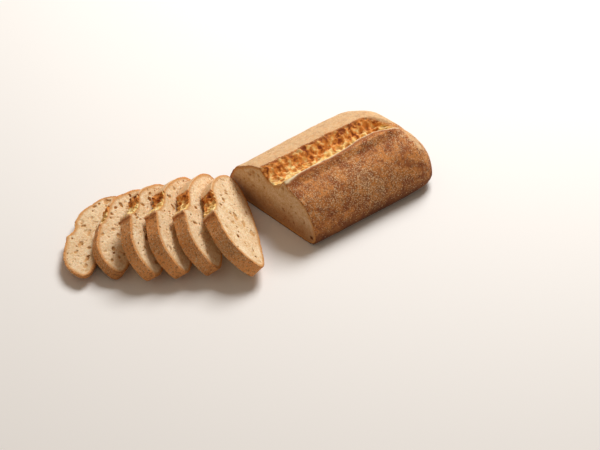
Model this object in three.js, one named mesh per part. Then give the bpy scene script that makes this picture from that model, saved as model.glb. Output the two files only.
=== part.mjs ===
// A ciabatta, partly sliced: the uncut loaf, five slices that lie against each other like
// fallen dominoes, and the heel. Every piece is lofted from one loaf section.
//
// Millimetres, +Z up. +X runs along the loaf from its cut face to its closed end, +Y to its
// far side, and the origin is on the floor under the middle of the whole row.
import * as THREE from 'three';

// Driving dimensions.
const WHOLE_WIDTH = 112; // across the loaf at its widest
const SHOULDER_HEIGHT = 54; // height of the crust beside the score
const LOAF_LENGTH = 159; // from the cut face, on the centre line, to the closed end
const CUT_BIAS = 10; // degrees that the knife ran off square
const END_BIAS = 10; // degrees that the closed end lies off square
const SCORE_END = 0.14; // where the score closes, across the section
const SCORE_CLOSED = 0.4; // share of the score's width that is left there
const FAR_SWELL = 0.09; // how much wider the far side is beyond the middle
const END_ROUNDING = 34; // length of the closed end's rounding
const SCORE_FADE = 34; // length over which the score closes before the end
const SCORE_STOP = 11; // plain crust between the score and the closed end
const LIP_RISE = 6; // how far the score's near lip is raised above the crust
const SCORE_DEPTH = 9; // how far the torn floor lies below the crust
const BASE_ROUNDING = 70; // length over which the underside rises to the closed end
const TIP_SHARE = 0.3; // share of the section that is left flat at the very end
const CURVE_STEPS = 14; // straight steps in each side's curve

const HALF = WHOLE_WIDTH / 2;
const LOAF_START = new THREE.Vector2(-15.8, 21.8); // centre of the cut face on the floor

// Half of the section's crust on each side, as fractions of the half width and the height.
const NEAR_FLANK = [[0.86, 0], [0.98, 0.07], [1.0, 0.2], [0.97, 0.39], [0.9, 0.59]];
const NEAR_SHOULDER = [[0.8, 0.74], [0.67, 0.86], [0.5, 0.93], [0.37, 0.975]];
const FAR_SHOULDER = [[-0.42, 0.99], [-0.57, 0.91], [-0.7, 0.8], [-0.87, 0.68]];
const FAR_FLANK = [[-0.965, 0.52], [-1.04, 0.33], [-1.0, 0.13], [-0.88, 0.03], [-0.8, 0]];

// The far side of a slice that slumped: wider and lower, with the same number of points.
const SLUMPED_SHOULDER = [[-0.42, 0.86], [-0.6, 0.77], [-0.76, 0.66], [-0.92, 0.52]];
const SLUMPED_FLANK = [[-1.02, 0.38], [-1.07, 0.24], [-1.02, 0.1], [-0.9, 0.02], [-0.8, 0]];

// Places across the base where a slice's underside sags, and each one's share of the sag.
const SAGGING_BASE = [[0.6, 0.5], [0.3, 0.88], [0, 1], [-0.3, 0.94], [-0.58, 0.6]];

// The top between the shoulders: place across, plain height, height on a slumped slice, and
// what the score adds there.
const SCORE_TOP = [
  { across: 0.25, height: 0.98, slumped: 0.97, change: LIP_RISE },
  { across: 0.18, height: 0.99, slumped: 0.97, change: -0.1 * SCORE_DEPTH },
  { across: 0.02, height: 1.005, slumped: 0.97, change: -SCORE_DEPTH },
  { across: -0.12, height: 1.015, slumped: 0.95, change: -0.85 * SCORE_DEPTH },
  { across: -0.3, height: 1.01, slumped: 0.89, change: 0.1 * LIP_RISE },
];

// The heel lies past the last slice, cut face up. Its rounding goes from the floor to the face.
const HEEL = {
  x: -158.9, y: 84.6, turn: -140.5, lean: 0, thick: 11.8,
  near: 1.03, far: 0.9, rise: 0.7, score: 0.5,
};
const HEEL_ROUNDING = [
  { depth: 1, share: 0.62 },
  { depth: 0.93, share: 0.75 },
  { depth: 0.75, share: 0.88 },
  { depth: 0.45, share: 0.97 },
  { depth: 0, share: 1 },
];

const CRUST = { color: 0xb87942, roughness: 0.85, metalness: 0 };
const SLICE = { color: 0xd9b98a, roughness: 0.9, metalness: 0 };

// Slices from the loaf outwards. x and y place the middle of the base edge, turn is the
// heading of that edge, lean the angle of the cut face to the floor, and near, far and rise
// scale the section. depth is the score's share of its full depth, slump how far the far side
// sank, and sag how far the underside bulges.
const SLICES = [
  {
    x: -41.8, y: 21, turn: -112.3, lean: 44.6, thick: 14.7,
    near: 1.21, far: 0.93, rise: 0.99, depth: 0.55, slump: 1, sag: 5,
  },
  {
    x: -69.1, y: 31.7, turn: -123, lean: 50, thick: 14.2,
    near: 1.04, far: 1.06, rise: 0.95, depth: 0.55, slump: 1, sag: 2,
  },
  {
    x: -90.2, y: 43.6, turn: -128, lean: 50, thick: 14,
    near: 1.08, far: 1, rise: 0.95, depth: 0.55, slump: 1, sag: 2,
  },
  {
    x: -112, y: 52, turn: -132.4, lean: 48.9, thick: 13,
    near: 1.04, far: 0.9, rise: 0.93, depth: 0.5, slump: 0.5, sag: 2,
  },
  {
    x: -133.7, y: 66.3, turn: -141, lean: 27.2, thick: 12,
    near: 0.98, far: 0.92, rise: 0.76, score: 0.7, depth: 0.25,
  },
];

/** Points of the section outline, from the far base over the top to the near base. */
function sectionOutline({
  near = 1, far = 1, rise = 1, score = 1, depth = score, width = 1, slump = 0, sag = 0,
}) {
  const place = ([across, height]) => {
    const side = across > 0 ? near : far;
    return new THREE.Vector2(across * HALF * side * width, height * SHOULDER_HEIGHT * rise);
  };
  const opening = THREE.MathUtils.lerp(SCORE_CLOSED, 1, score);
  const scored = SCORE_TOP.map(({ across, height, slumped, change }) => {
    const top = THREE.MathUtils.lerp(height, slumped, slump);
    const point = place([THREE.MathUtils.lerp(SCORE_END, across, opening), top]);
    point.y += change * depth * rise;
    return point;
  });
  const slumpedSide = [...SLUMPED_SHOULDER, ...SLUMPED_FLANK];
  const farSide = [...FAR_SHOULDER, ...FAR_FLANK].map(([across, height], k) => place([
    THREE.MathUtils.lerp(across, slumpedSide[k][0], slump),
    THREE.MathUtils.lerp(height, slumpedSide[k][1], slump),
  ]));
  const nearCurve = new THREE.SplineCurve([...NEAR_FLANK, ...NEAR_SHOULDER].map(place));
  const farCurve = new THREE.SplineCurve(farSide);
  const base = SAGGING_BASE.map(([across, share]) => place([across, 0]).setY(-sag * share));
  return [
    ...(sag > 0 ? base.reverse() : []),
    ...nearCurve.getPoints(CURVE_STEPS),
    ...scored,
    ...farCurve.getPoints(CURVE_STEPS),
  ].reverse();
}

/** Closed mesh through equal rings of points, flat at both ends, the faces pointing out. */
function loft(rings) {
  const count = rings[0].length;
  const positions = rings.flat().flatMap((point) => point.toArray());
  const index = [];
  for (let ring = 0; ring + 1 < rings.length; ring += 1) {
    for (let k = 0; k < count; k += 1) {
      const a = ring * count + k;
      const b = ring * count + ((k + 1) % count);
      index.push(a, b, b + count, a, b + count, a + count);
    }
  }
  const last = (rings.length - 1) * count;
  for (const [a, b, c] of capTriangles(rings[0])) index.push(a, c, b);
  for (const [a, b, c] of capTriangles(rings.at(-1))) index.push(last + a, last + b, last + c);
  const geometry = new THREE.BufferGeometry();
  geometry.setAttribute('position', new THREE.Float32BufferAttribute(positions, 3));
  geometry.setIndex(index);
  geometry.computeVertexNormals();
  return geometry;
}

/** Triangles of one end ring, seen along +X with its first axis across the loaf. */
function capTriangles(ring) {
  const flat = ring.map((point) => new THREE.Vector2(point.y, point.z));
  return THREE.ShapeUtils.triangulateShape(flat, []);
}

/** Share of the full section that is left at a distance before the closed end. */
function endShare(distance, rounding, power) {
  const used = Math.min(Math.max(1 - distance / rounding, 0), 1);
  return (1 - used ** power) ** (1 / power);
}

/** The uncut loaf: its sections along +X, the first one in the biased cut plane. */
function loafGeometry() {
  const stations = [
    0, 10, 25, 42, 60, 78, 94, 106, 116, 124.5, 131, 136.5, 141.5, 146, 150.5, 154, 156.8, 158.5,
    LOAF_LENGTH,
  ];
  const centreHeight = 0.27 * SHOULDER_HEIGHT; // height of the closed end's tip
  return loft(stations.map((station) => {
    const toEnd = LOAF_LENGTH - station;
    const width = Math.max(endShare(toEnd, END_ROUNDING, 2.8), TIP_SHARE);
    const above = Math.max(endShare(toEnd, END_ROUNDING, 2.2), TIP_SHARE);
    const below = Math.max(endShare(toEnd, BASE_ROUNDING, 2), TIP_SHARE);
    const score = THREE.MathUtils.smoothstep(toEnd, SCORE_STOP, SCORE_FADE);
    const far = 1 + FAR_SWELL * THREE.MathUtils.smoothstep(station, 0, 110);
    const bias = THREE.MathUtils.lerp(CUT_BIAS, END_BIAS, station / LOAF_LENGTH);
    const skew = Math.tan(THREE.MathUtils.degToRad(bias));
    return sectionOutline({ score, width, far }).map(({ x, y }) => new THREE.Vector3(
      station + x * skew,
      -x,
      centreHeight + (y - centreHeight) * (y > centreHeight ? above : below),
    ));
  }));
}

/** One slice: its cut face towards the loaf at the top, its thickness below that face. */
function sliceGeometry({ thick, ...section }) {
  const outline = sectionOutline(section);
  return loft([-thick, 0].map((depth) => outline.map(({ x, y }) => new THREE.Vector3(depth, -x, y))));
}

/** The heel: its cut face on top, and the loaf's rounded end under it. */
function heelGeometry({ thick, ...section }) {
  const outline = sectionOutline(section);
  const middle = 0.4 * SHOULDER_HEIGHT;
  return loft(HEEL_ROUNDING.map(({ depth, share }) => outline.map(({ x, y }) => new THREE.Vector3(
    -depth * thick,
    -x * share,
    middle + (y - middle) * share,
  ))));
}

/** Turns a slice from upright, face to the loaf, to its lean, and stands its edge on the floor. */
function placeSlice(mesh, { x, y, turn, lean }) {
  mesh.rotation.order = 'ZYX';
  mesh.rotation.z = THREE.MathUtils.degToRad(turn + 90);
  mesh.rotation.y = THREE.MathUtils.degToRad(lean - 90);
  mesh.position.set(x, y, 0);
  mesh.updateMatrixWorld(true);
  mesh.position.z = -new THREE.Box3().setFromObject(mesh, true).min.z;
}

const ciabatta = new THREE.Group();

const loaf = new THREE.Mesh(loafGeometry(), new THREE.MeshStandardMaterial(CRUST));
loaf.name = 'loaf';
loaf.position.set(LOAF_START.x, LOAF_START.y, 0);
ciabatta.add(loaf);

SLICES.forEach((slice, order) => {
  const mesh = new THREE.Mesh(sliceGeometry(slice), new THREE.MeshStandardMaterial(SLICE));
  mesh.name = `slice_${order + 1}`;
  placeSlice(mesh, slice);
  ciabatta.add(mesh);
});

const heel = new THREE.Mesh(heelGeometry(HEEL), new THREE.MeshStandardMaterial(CRUST));
heel.name = 'heel';
placeSlice(heel, HEEL);
ciabatta.add(heel);

// The whole row is moved so that the middle of its box stands on the origin.
const middle = new THREE.Box3().setFromObject(ciabatta, true).getCenter(new THREE.Vector3());
ciabatta.position.set(-middle.x, -middle.y, 0);

export default ciabatta;
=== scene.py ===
"""Looks of a partly sliced ciabatta: the uncut loaf, five slices and the heel.

Every piece is grown from its solid in the frame. The solid gives the outline of each section,
and this file adds what baking and cutting made: the torn score and its raised lip, the wrinkled
floured crust, and the open crumb with its pores. Lengths are in millimetres in here, and become
metres when a mesh is written.
"""

import logging
import math
from collections.abc import Iterator
from dataclasses import dataclass, field
from enum import Enum, IntEnum
from functools import partial

import bpy
import numpy as np
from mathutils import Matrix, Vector


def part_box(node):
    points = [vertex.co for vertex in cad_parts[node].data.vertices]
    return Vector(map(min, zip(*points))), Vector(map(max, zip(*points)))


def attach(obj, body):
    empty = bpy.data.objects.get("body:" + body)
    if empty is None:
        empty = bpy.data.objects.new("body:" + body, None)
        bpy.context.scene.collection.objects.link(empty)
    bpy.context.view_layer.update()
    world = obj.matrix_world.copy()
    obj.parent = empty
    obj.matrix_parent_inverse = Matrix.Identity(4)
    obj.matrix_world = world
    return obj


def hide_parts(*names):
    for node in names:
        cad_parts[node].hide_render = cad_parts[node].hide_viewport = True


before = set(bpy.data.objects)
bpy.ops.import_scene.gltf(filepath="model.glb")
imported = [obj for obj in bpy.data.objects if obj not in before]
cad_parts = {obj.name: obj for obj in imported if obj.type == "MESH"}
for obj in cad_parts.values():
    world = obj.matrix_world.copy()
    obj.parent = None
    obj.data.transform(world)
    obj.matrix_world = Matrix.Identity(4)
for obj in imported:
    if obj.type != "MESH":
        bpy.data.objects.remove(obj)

LOG = logging.getLogger("ciabatta")
MM = 0.001
MM_IN_CM = 10
CM2_IN_M2 = 1e4
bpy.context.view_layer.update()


class Cut(Enum):
    """Where the knife went through: at a piece's start only, or at both of its ends."""

    START = "start"
    BOTH = "both"


# --- Small tools --------------------------------------------------------------------------------


def smoothstep(value: np.ndarray, low: float, high: float) -> np.ndarray:
    """Rises smoothly from 0 at low to 1 at high."""
    t = np.clip((value - low) / (high - low), 0.0, 1.0)
    return t * t * (3.0 - 2.0 * t)


def bell(value: np.ndarray, middle: float, width: float) -> np.ndarray:
    """A smooth hump that is 1 at the middle and small beyond its width."""
    return np.exp(-(((value - middle) / width) ** 2))


def blur(table: np.ndarray, sigma: float, axis: int, wraps: bool) -> np.ndarray:
    """Smooths a table along one axis.

    Args:
        table: The values.
        sigma: Width of the smoothing, in cells.
        axis: The axis to smooth along.
        wraps: True where the axis closes on itself, as an angle does.

    Returns:
        The smoothed table.
    """
    reach = int(math.ceil(3 * sigma))
    weights = np.exp(-0.5 * (np.arange(-reach, reach + 1) / sigma) ** 2)
    padding = [(0, 0)] * table.ndim
    padding[axis] = (reach, reach)
    padded = np.pad(table, padding, mode="wrap" if wraps else "edge")
    size = table.shape[axis]
    parts = (np.take(padded, range(k, k + size), axis) * w for k, w in enumerate(weights))
    return sum(parts) / weights.sum()


def corner_weights(t: np.ndarray) -> Iterator[tuple[np.ndarray, np.ndarray]]:
    """Yields a cell's eight corners, each with its weight at places given within the cell.

    Args:
        t: Places within their cells, from 0 to 1 along each axis.

    Returns:
        The corners' steps from the cell's first, each with its weights.
    """
    for corner in range(8):
        bits = np.array([corner & 1, corner >> 1 & 1, corner >> 2 & 1])
        yield bits, np.prod(np.where(bits, t, 1 - t), axis=1)


class Noise:
    """Smooth seeded noise in space, from -1 to 1."""

    SIZE = 64
    LAYER_SHIFT = 17.3
    LAYERED_PEAK = 1.5

    def __init__(self, seed: int) -> None:
        """Draws the lattice that the noise is read from."""
        shape = (self.SIZE,) * 3
        self.lattice = np.random.default_rng(seed).uniform(-1, 1, shape).astype(np.float32)

    def at(self, points: np.ndarray, cell: float) -> np.ndarray:
        """Reads the noise.

        Args:
            points: Places, as rows of three millimetre values.
            cell: Size of one lattice cell, in millimetres.

        Returns:
            One value for each place.
        """
        scaled = points / cell
        low = np.floor(scaled).astype(np.int64)
        t = (scaled - low).astype(np.float32)
        t = t * t * (3 - 2 * t)
        total = np.zeros(len(points), np.float32)
        for bits, weight in corner_weights(t):
            i, j, k = ((low + bits) % self.SIZE).T
            total += weight * self.lattice[i, j, k]
        return total

    def layered(self, points: np.ndarray, cell: float, layers: int = 3) -> np.ndarray:
        """Adds finer and weaker layers of the noise, each half the size of the one before.

        Args:
            points: Places, as rows of three millimetre values.
            cell: Size of the first layer's cell.
            layers: How many layers to add.

        Returns:
            One value for each place.
        """
        total = np.zeros(len(points), np.float32)
        for layer in range(layers):
            shifted = points + self.LAYER_SHIFT * layer
            total += self.at(shifted, cell / 2**layer) / 2**layer
        return total / self.LAYERED_PEAK


def cell_distances(points: np.ndarray, cell: tuple[float, float], seed: int) -> np.ndarray:
    """Finds how far each place is from the nearest of scattered centres, and from the next.

    Args:
        points: Places, as rows of two millimetre values.
        cell: Mean distance between centres along each of the two.
        seed: Seed of the centres.

    Returns:
        Two rows: distances to the nearest and the second nearest centre, in cells.
    """
    size, edge, far_off = 128, 0.1, 9.0
    jitter = np.random.default_rng(seed).uniform(edge, 1 - edge, (size, size, 2))
    scaled = points / np.array(cell)
    home = np.floor(scaled).astype(np.int64)
    nearest = np.full(len(points), far_off)
    second = nearest.copy()
    for i in (-1, 0, 1):
        for j in (-1, 0, 1):
            there = home + np.array([i, j])
            centre = there + jitter[there[:, 0] % size, there[:, 1] % size]
            distance = np.hypot(*(scaled - centre).T)
            second = np.minimum(second, np.maximum(distance, nearest))
            nearest = np.minimum(nearest, distance)
    return np.stack([nearest, second])


def surface_net(values: np.ndarray, low: np.ndarray, step: float) -> tuple[np.ndarray, np.ndarray]:
    """Meshes the surface where a field on a regular grid passes zero.

    Args:
        values: The field, negative inside.
        low: Place of the grid's first point.
        step: Distance between grid points.

    Returns:
        Vertices, and quads as rows of four vertex numbers, facing out.
    """
    inside = values < 0
    corners = [(i, j, k) for i in (0, 1) for j in (0, 1) for k in (0, 1)]
    nx, ny, nz = (size - 1 for size in values.shape)

    def corner_view(array: np.ndarray, corner: tuple[int, int, int]) -> np.ndarray:
        """The array as seen from one corner of every cell."""
        i, j, k = corner
        return array[i:i + nx, j:j + ny, k:k + nz]

    count = sum(corner_view(inside, corner).astype(np.int8) for corner in corners)
    active = (count > 0) & (count < 8)
    cells = np.argwhere(active)
    number = np.full(active.shape, -1, np.int64)
    number[active] = np.arange(len(cells))
    at_corner = {corner: corner_view(values, corner)[active] for corner in corners}
    place = np.zeros((len(cells), 3))
    hits = np.zeros(len(cells))
    for start in corners:
        for axis in range(3):
            if start[axis]:
                continue
            end = tuple(c + (axis == n) for n, c in enumerate(start))
            a, b = at_corner[start], at_corner[end]
            crossed = (a < 0) != (b < 0)
            share = np.where(crossed, a / np.where(crossed, a - b, 1), 0)
            point = np.tile(np.array(start, float), (len(cells), 1))
            point[:, axis] += share
            place += point * crossed[:, None]
            hits += crossed
    vertices = low + step * (cells + place / hits[:, None])

    quads = []
    for axis in range(3):
        one, two = (axis + 1) % 3, (axis + 2) % 3
        here = np.take(inside, range(values.shape[axis] - 1), axis)
        there = np.take(inside, range(1, values.shape[axis]), axis)
        for leaving in (True, False):
            edges = np.argwhere((here & ~there) if leaving else (~here & there))
            edges = edges[(edges[:, one] > 0) & (edges[:, two] > 0)]
            ring = []
            for back_one, back_two in ((1, 1), (0, 1), (0, 0), (1, 0)):
                cell = edges.copy()
                cell[:, one] -= back_one
                cell[:, two] -= back_two
                ring.append(number[tuple(cell.T)])
            quads.append(np.stack(ring if leaving else ring[::-1], axis=1))
    return vertices, np.concatenate(quads)


# --- Where each piece lies ----------------------------------------------------------------------


@dataclass
class Bearings:
    """A piece's own directions: along the bread, across it to the near side, and up its dome.

    Its coordinates are (along, across, up). The loaf's sections are slanted, so along is
    measured from a section that is turned by the bias, in degrees.
    """

    SETTLING_ROUNDS = 12

    origin: np.ndarray
    along: np.ndarray
    across: np.ndarray
    up: np.ndarray
    start_bias: float = 0.0
    end_bias: float = 0.0
    length: float = 1.0

    def slant(self, along: np.ndarray) -> np.ndarray:
        """How far a section runs on along the bread for each millimetre across."""
        share = np.clip(along / self.length, 0.0, 1.0)
        return np.tan(np.radians(self.start_bias + (self.end_bias - self.start_bias) * share))

    def to_own(self, points: np.ndarray) -> np.ndarray:
        """Turns places in the row's frame into the piece's coordinates.

        Args:
            points: Places, as rows of three values.

        Returns:
            Rows of (along, across, up).
        """
        offset = points - self.origin
        straight, across = offset @ self.along, offset @ self.across
        along = straight.copy()
        for _ in range(self.SETTLING_ROUNDS):
            along = straight - across * self.slant(along)
        return np.stack([along, across, offset @ self.up], axis=1)

    def to_row(self, points: np.ndarray) -> np.ndarray:
        """Turns the piece's coordinates into places in the row's frame.

        Args:
            points: Rows of (along, across, up).

        Returns:
            Places, as rows of three values.
        """
        along, across, up = points.T
        straight = along + across * self.slant(along)
        return (
            self.origin
            + np.outer(straight, self.along)
            + np.outer(across, self.across)
            + np.outer(up, self.up)
        )


def solid_triangles(node: str) -> np.ndarray:
    """Triangles of a node's solid, in millimetres, as an array of three corners each.

    Args:
        node: The node.

    Returns:
        One row of three corners for each triangle.
    """
    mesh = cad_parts[node].data
    mesh.calc_loop_triangles()
    points = np.empty(len(mesh.vertices) * 3)
    mesh.vertices.foreach_get("co", points)
    corners = np.empty(len(mesh.loop_triangles) * 3, np.int64)
    mesh.loop_triangles.foreach_get("vertices", corners)
    return points.reshape(-1, 3)[corners.reshape(-1, 3)] / MM


def flat_faces(triangles: np.ndarray) -> list[tuple[float, np.ndarray, np.ndarray]]:
    """The flat faces of a solid, the largest first.

    Args:
        triangles: The solid's triangles.

    Returns:
        For each flat face its area, its outward normal and its middle.
    """
    cross = np.cross(triangles[:, 1] - triangles[:, 0], triangles[:, 2] - triangles[:, 0])
    areas = np.linalg.norm(cross, axis=1) / 2
    normals = cross / (2 * areas[:, None] + 1e-12)
    groups: dict[tuple, list[int]] = {}
    for number, normal in enumerate(normals):
        groups.setdefault(tuple(np.round(normal, 2) + 0.0), []).append(number)
    faces = []
    for members in groups.values():
        weight = areas[members]
        normal = (normals[members] * weight[:, None]).sum(0)
        middle = (triangles[members].mean(1) * weight[:, None]).sum(0) / weight.sum()
        faces.append((weight.sum(), normal / np.linalg.norm(normal), middle))
    return sorted(faces, key=lambda face: -face[0])


def slice_bearings(node: str) -> Bearings:
    """Finds how a slice lies from its two flat cut faces. A leaning slice's base runs level.

    Args:
        node: The slice's node.

    Returns:
        Bearings with their origin on the upper cut face, below the middle of its width.
    """
    lying_flat, square_on, face_slack = 0.99, 0.5, 0.2
    triangles = solid_triangles(node)
    faces = flat_faces(triangles)
    _, along, face_middle = max(faces[:2], key=lambda face: face[1][2])
    up = np.array([0.0, 0.0, 1.0])
    if along[2] > lying_flat:
        up = -next(normal for _, normal, _ in faces[1:] if abs(normal @ along) < square_on)
    up = up - along * (up @ along)
    up /= np.linalg.norm(up)
    across = np.cross(along, up)
    points = triangles.reshape(-1, 3)
    on_face = points[np.abs((points - face_middle) @ along) < face_slack]
    base = (on_face @ up).min()
    sides = on_face @ across
    middle = (sides.min() + sides.max()) / 2
    origin = along * (face_middle @ along) + across * middle + up * base
    return Bearings(origin, along, across, up)


def thickness(bearings: Bearings, node: str) -> float:
    """Thickness of a slice's solid, from one cut face to the far end."""
    own = bearings.to_own(solid_triangles(node).reshape(-1, 3))
    return float(np.ptp(own[:, 0]))


@dataclass
class Outlines:
    """Outline of every section of a piece: the distance from its core line, by angle.

    The solid's faceted sections are softened, less so over the top, where the score's lips are.
    The score's width is measured from the far lip, or given where the section shows no far lip.
    """

    bearings: Bearings
    triangles: np.ndarray
    stations: np.ndarray
    score_width: float = 0.0
    core_height: float = 19.0
    angles: int = 1080
    soften_degrees: float = 2.6
    crisp_share: float = 0.25
    crisp_start: tuple[float, float] = (50, 60)
    crisp_end: tuple[float, float] = (118, 128)
    near_lip: tuple[float, float] = (5, 24)
    near_lip_of_slices: tuple[float, float] = (0, 24)
    far_lip: tuple[float, float] = (-26, -9)
    far_tilt: float = 0.12
    line_parts: int = 40
    line_least: float = 0.8
    chord_steps: int = 24

    radii: np.ndarray = field(init=False)

    def __post_init__(self) -> None:
        """Measures the solid's sections."""
        own = self.bearings.to_own(self.triangles.reshape(-1, 3)).reshape(-1, 3, 3)
        self.radii = np.array([self.section(own, station) for station in self.stations])
        cells = self.soften_degrees * self.angles / 360
        soft = blur(self.radii, cells, 1, True)
        crisp = blur(self.radii, self.crisp_share * cells, 1, True)
        turn = np.degrees(self.turns())
        top = smoothstep(turn, *self.crisp_start) * (1 - smoothstep(turn, *self.crisp_end))
        self.radii = soft + (crisp - soft) * top[None, :]

    def turns(self) -> np.ndarray:
        """The table's angles: 0 is the near side and a quarter turn is up."""
        return np.linspace(0, 2 * math.pi, self.angles, endpoint=False)

    def section(self, own: np.ndarray, station: float) -> np.ndarray:
        """Cuts the solid at one station.

        Args:
            own: The solid's triangles in the piece's coordinates.
            station: Where along the bread to cut.

        Returns:
            The distance from the core line to the crust at each of the table's angles.
        """
        steps = np.linspace(0, 1, self.chord_steps)[:, None]
        pieces = []
        for triangle in own:
            side = triangle[:, 0] > station
            if side.all() or not side.any():
                continue
            ends = []
            for a, b in ((0, 1), (1, 2), (2, 0)):
                if side[a] != side[b]:
                    share = (station - triangle[a, 0]) / (triangle[b, 0] - triangle[a, 0])
                    ends.append(triangle[a, 1:] + share * (triangle[b, 1:] - triangle[a, 1:]))
            pieces.append(ends[0] + steps * (ends[1] - ends[0]))
        across, up = np.concatenate(pieces).T
        up = up - self.core_height
        turn = np.arctan2(up, across) % (2 * math.pi)
        order = np.argsort(turn)
        reach = np.hypot(across, up)[order]
        return np.interp(self.turns(), turn[order], reach, period=2 * math.pi)

    def look_up(self, table: np.ndarray, turn: np.ndarray, along: np.ndarray) -> np.ndarray:
        """Reads a table of angles by stations at any place.

        Args:
            table: One row for each station and one column for each angle.
            turn: Angles to read at.
            along: Places along the bread to read at.

        Returns:
            The values, of the same shape as turn.
        """
        first, last = self.stations[0], self.stations[-1]
        row = np.clip((along - first) / (last - first), 0, 1) * (len(self.stations) - 1)
        column = (turn % (2 * math.pi)) / (2 * math.pi) * self.angles
        r0 = np.minimum(row.astype(int), len(self.stations) - 2)
        c0 = column.astype(int) % self.angles
        fr, fc = row - r0, column - column.astype(int)
        c1 = (c0 + 1) % self.angles
        upper = table[r0, c0] * (1 - fc) + table[r0, c1] * fc
        lower = table[r0 + 1, c0] * (1 - fc) + table[r0 + 1, c1] * fc
        return upper * (1 - fr) + lower * fr

    def surface(self) -> np.ndarray:
        """Places of the crust at every station and angle, in the piece's coordinates.

        Returns:
            One (along, across, up) for each station and angle.
        """
        turn = self.turns()[None, :]
        along = np.repeat(self.stations[:, None], self.angles, axis=1)
        return np.stack(
            [along, self.radii * np.cos(turn), self.core_height + self.radii * np.sin(turn)],
            axis=-1,
        )

    def smooth_line(self, line: np.ndarray) -> np.ndarray:
        """Smooths a line of one value for each station."""
        return blur(line, max(len(line) / self.line_parts, self.line_least), 0, False)

    def near_side(self) -> np.ndarray:
        """Heights of the crust where the near lip may be, and -1 everywhere else.

        Returns:
            One height for each station and angle.
        """
        places = self.surface()
        across, up = places[..., 1], places[..., 2]
        low, high = self.near_lip_of_slices if self.score_width else self.near_lip
        return np.where((across > low) & (across < high), up, -1)

    def lip_heights(self) -> np.ndarray:
        """Height of the near lip's crest at every station."""
        return self.smooth_line(self.near_side().max(1))

    def lips(self) -> tuple[np.ndarray, np.ndarray]:
        """How far across the score's near and far lips lie at every station.

        Returns:
            The near lip's line and the far lip's.
        """
        places = self.surface()
        across, up = places[..., 1], places[..., 2]
        rows = np.arange(len(across))
        near_line = self.smooth_line(across[rows, self.near_side().argmax(1)])
        if self.score_width:
            return near_line, near_line - self.score_width
        low, high = self.far_lip
        crown = up - self.far_tilt * np.abs(across)
        far = np.where((across > low) & (across < high), crown, -1).argmax(1)
        return near_line, self.smooth_line(across[rows, far])


# --- What baking and cutting made ---------------------------------------------------------------


class Shift(IntEnum):
    """How far each use of a piece's noise is moved, so that no two of them look alike."""

    SWAY = 3
    WARP = 5
    LIPS = 8
    WAVE = 11
    HOLLOW = 13
    EAR = 15
    UNEVEN = 20
    THREAD = 30
    WARP_AXIS = 31
    GRAIN = 40
    SWAY_ACROSS = 51
    SLOW = 60
    SCALLOP = 70
    WRINKLE = 90


@dataclass(frozen=True)
class CrustRelief:
    """Heights and cell sizes of the crust's unevenness and of the torn floor of the score.

    Pairs are the two ends of a smooth step, or the middle and the width of a hump.
    """

    swell: float = 0.7
    swell_cell: float = 28.0
    wrinkle: float = 0.28
    wrinkle_cell: float = 7.0
    grain: float = 0.24
    grain_cell: float = 2.1
    grounded: tuple[float, float] = (1.0, 9.0)
    crease: float = 0.35
    crease_back: float = 1.7
    crease_width: float = 0.8
    pocket: float = 2.3
    pocket_cell: tuple[float, float] = (7.6, 5.8)
    pocket_wall: tuple[float, float] = (0.05, 0.5)
    pocket_level: float = 0.35
    deepening: float = 0.5
    deepening_along: tuple[float, float] = (70.0, 125.0)
    pit: float = 0.8
    pit_cell: tuple[float, float] = (2.6, 2.3)
    pit_wall: tuple[float, float] = (0.05, 0.55)
    pit_level: float = 0.5
    pit_shift: float = 40.0
    sway: float = 1.6
    sway_cell: float = 4.0
    thread: float = 0.7
    thread_cell: float = 2.4
    thread_stretch: tuple[float, float, float] = (1.0, 0.35, 1.0)
    far_wall: float = 1.5
    far_wall_at: tuple[float, float] = (3.4, 3.0)
    far_groove: float = 1.6
    far_groove_at: tuple[float, float] = (0.9, 0.9)
    far_foot: tuple[float, float] = (0.0, 0.9)
    near_foot: tuple[float, float] = (-0.6, 0.2)


@dataclass(frozen=True)
class ScoreShape:
    """How ragged the score's lips are, how its ear leans and rises, and how it closes.

    Places along the bread count from the cut face, and closing distances back from the stop.
    """

    ragged: float = 1.1
    ragged_cell: float = 9.0
    near_raggedness: float = 0.4
    scallop: float = 1.7
    scallop_cell: float = 10.0
    taper: float = 10.0
    taper_over: float = 20.0
    lean: float = 0.8
    least_lean: float = 0.5
    ear_lean: float = 3.7
    ear_along: tuple[float, float] = (2.0, 28.0)
    ear_more: float = 4.0
    ear_more_along: tuple[float, float] = (58.0, 96.0)
    ear_closing: tuple[float, float] = (34.0, 5.0)
    ear_closed: float = 0.9
    closing_over: float = 12.0
    dome: tuple[float, float] = (33.0, 41.0)
    ear_rise: float = 0.5
    ear_rise_cell: float = 6.0
    ear_rise_stretch: tuple[float, float, float] = (1.0, 0.1, 0.1)
    ear_slope: float = 0.16
    ear_drop: float = 0.7
    ear_front: tuple[float, float] = (-0.4, 0.3)
    ear_back: tuple[float, float] = (-1.4, 0.4)
    ear_steepest: float = 0.5


@dataclass(frozen=True)
class ScorePlaces:
    """Places measured from the score: across from its near and far lips, how far the near lip
    leans over it, and how open it is, from 0 to 1.
    """

    near: np.ndarray
    far: np.ndarray
    lean: np.ndarray
    opened: np.ndarray

    def torn(self, far_foot: tuple[float, float], near_foot: tuple[float, float]) -> np.ndarray:
        """How much of each place is torn floor, from the steps at its two feet.

        Args:
            far_foot: Ends of the smooth step at the far lip.
            near_foot: Ends of the one at the ear's edge.

        Returns:
            A share for every place, from 0 to 1.
        """
        past_far = smoothstep(self.far, *far_foot)
        start, stop = near_foot
        past_near = smoothstep(self.near, -self.lean + start, -self.lean + stop)
        return past_far * (1 - past_near) * self.opened


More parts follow.
